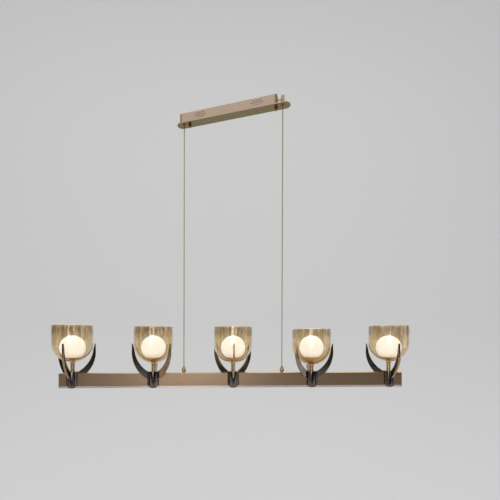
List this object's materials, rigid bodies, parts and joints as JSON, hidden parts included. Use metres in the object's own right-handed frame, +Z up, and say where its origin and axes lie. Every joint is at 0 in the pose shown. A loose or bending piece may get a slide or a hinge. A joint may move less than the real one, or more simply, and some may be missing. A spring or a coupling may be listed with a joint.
{
  "type": "linear pendant light",
  "caption": "Linear island pendant: a slim bar hung on two cables from a ceiling canopy, carrying amber glass cups with opal globes.",
  "frame": {"origin": "centre of the canopy's ceiling face, midway between the two cables", "axes": "+X along the light bar, +Z up, -Y towards the viewer of the picture"},
  "size_m": [1.3446, 0.1708, 1.0655],
  "materials": {
    "champagne_bronze": "brushed, bronze anodised",
    "canopy_bronze": "brushed, pale bronze plating",
    "polished_trim": "polished",
    "black_nickel": "polished black nickel",
    "satin_brass": "satin",
    "dark_bronze": "dark, satin",
    "amber_glass": "clear amber, hand rippled",
    "opal_glass": "opal white, satin",
    "bulb_glass": "clear",
    "cable_braid": "fine braid",
    "steel": "zinc plated",
    "driver_plastic": "matte black",
    "ceramic": "unglazed",
    "silicone": "soft, translucent",
    "wire_insulation": "smooth"
  },
  "bodies": {
    "canopy": {"ceiling_bracket": "steel", "canopy_plate": "canopy_bronze", "canopy_housing": "canopy_bronze", "gripper_barrel_left": "satin_brass", "gripper_barrel_right": "satin_brass", "gland_nuts": "satin_brass", "led_driver": "driver_plastic", "terminal_block": "driver_plastic", "canopy_leads": "wire_insulation", "gripper_spring_left": "steel", "gripper_spring_right": "steel"},
    "cap_nut_left": {"cap_nut_left": "dark_bronze"},
    "cap_nut_right": {"cap_nut_right": "dark_bronze"},
    "release_left": {"release_nozzle_left": "satin_brass"},
    "release_right": {"release_nozzle_right": "satin_brass"},
    "suspension": {"cable_left": "cable_braid", "cable_right": "cable_braid"},
    "light_bar": {"bar_profile": "champagne_bronze", "bar_wiring": "wire_insulation", "bottom_trim": "polished_trim", "bulbs": "bulb_glass", "cable_fitting_left": "satin_brass", "cable_fitting_right": "satin_brass", "claws_1": "black_nickel", "claws_2": "black_nickel", "claws_3": "black_nickel", "claws_4": "black_nickel", "claws_5": "black_nickel", "cup_1": "amber_glass", "cup_2": "amber_glass", "cup_3": "amber_glass", "cup_4": "amber_glass", "cup_5": "amber_glass", "cup_gaskets": "silicone", "end_cap_left": "champagne_bronze", "end_cap_right": "champagne_bronze", "globe_1": "opal_glass", "globe_2": "opal_glass", "globe_3": "opal_glass", "globe_4": "opal_glass", "globe_5": "opal_glass", "lamp_holder_1": "satin_brass", "lamp_holder_2": "satin_brass", "lamp_holder_3": "satin_brass", "lamp_holder_4": "satin_brass", "lamp_holder_5": "satin_brass", "lamp_sockets": "ceramic", "lock_nuts": "steel", "saddle_1": "black_nickel", "saddle_2": "black_nickel", "saddle_3": "black_nickel", "saddle_4": "black_nickel", "saddle_5": "black_nickel", "stem_1": "satin_brass", "stem_2": "satin_brass", "stem_3": "satin_brass", "stem_4": "satin_brass", "stem_5": "satin_brass", "threaded_tubes": "satin_brass"}
  },
  "joints": [
    {"name": "sway", "type": "hinge", "parent": "canopy", "child": "suspension", "pos_m": [0, 0, -0.045], "axis": [0.9455, -0.3256, 0], "range_deg": [-15, 15]},
    {"name": "height", "type": "slide", "parent": "suspension", "child": "light_bar", "axis": [0, 0, 1], "range_m": [0, 0.6], "deforming": ["cable_left", "cable_right"]},
    {"name": "release_left", "type": "slide", "parent": "canopy", "child": "release_left", "axis": [0, 0, 1], "range_m": [0, 0.002], "stiffness_N_per_m": 300, "springref_m": -0.003, "deforming": ["gripper_spring_left"]},
    {"name": "cap_nut_turn_left", "type": "hinge", "parent": "canopy", "child": "cap_nut_left", "pos_m": [-0.16121, 0.05551, -0.041], "axis": [0, 0, 1], "continuous": true},
    {"name": "release_right", "type": "slide", "parent": "canopy", "child": "release_right", "axis": [0, 0, 1], "range_m": [0, 0.002], "stiffness_N_per_m": 300, "springref_m": -0.003, "deforming": ["gripper_spring_right"]},
    {"name": "cap_nut_turn_right", "type": "hinge", "parent": "canopy", "child": "cap_nut_right", "pos_m": [0.16121, -0.05551, -0.041], "axis": [0, 0, 1], "continuous": true}
  ]
}
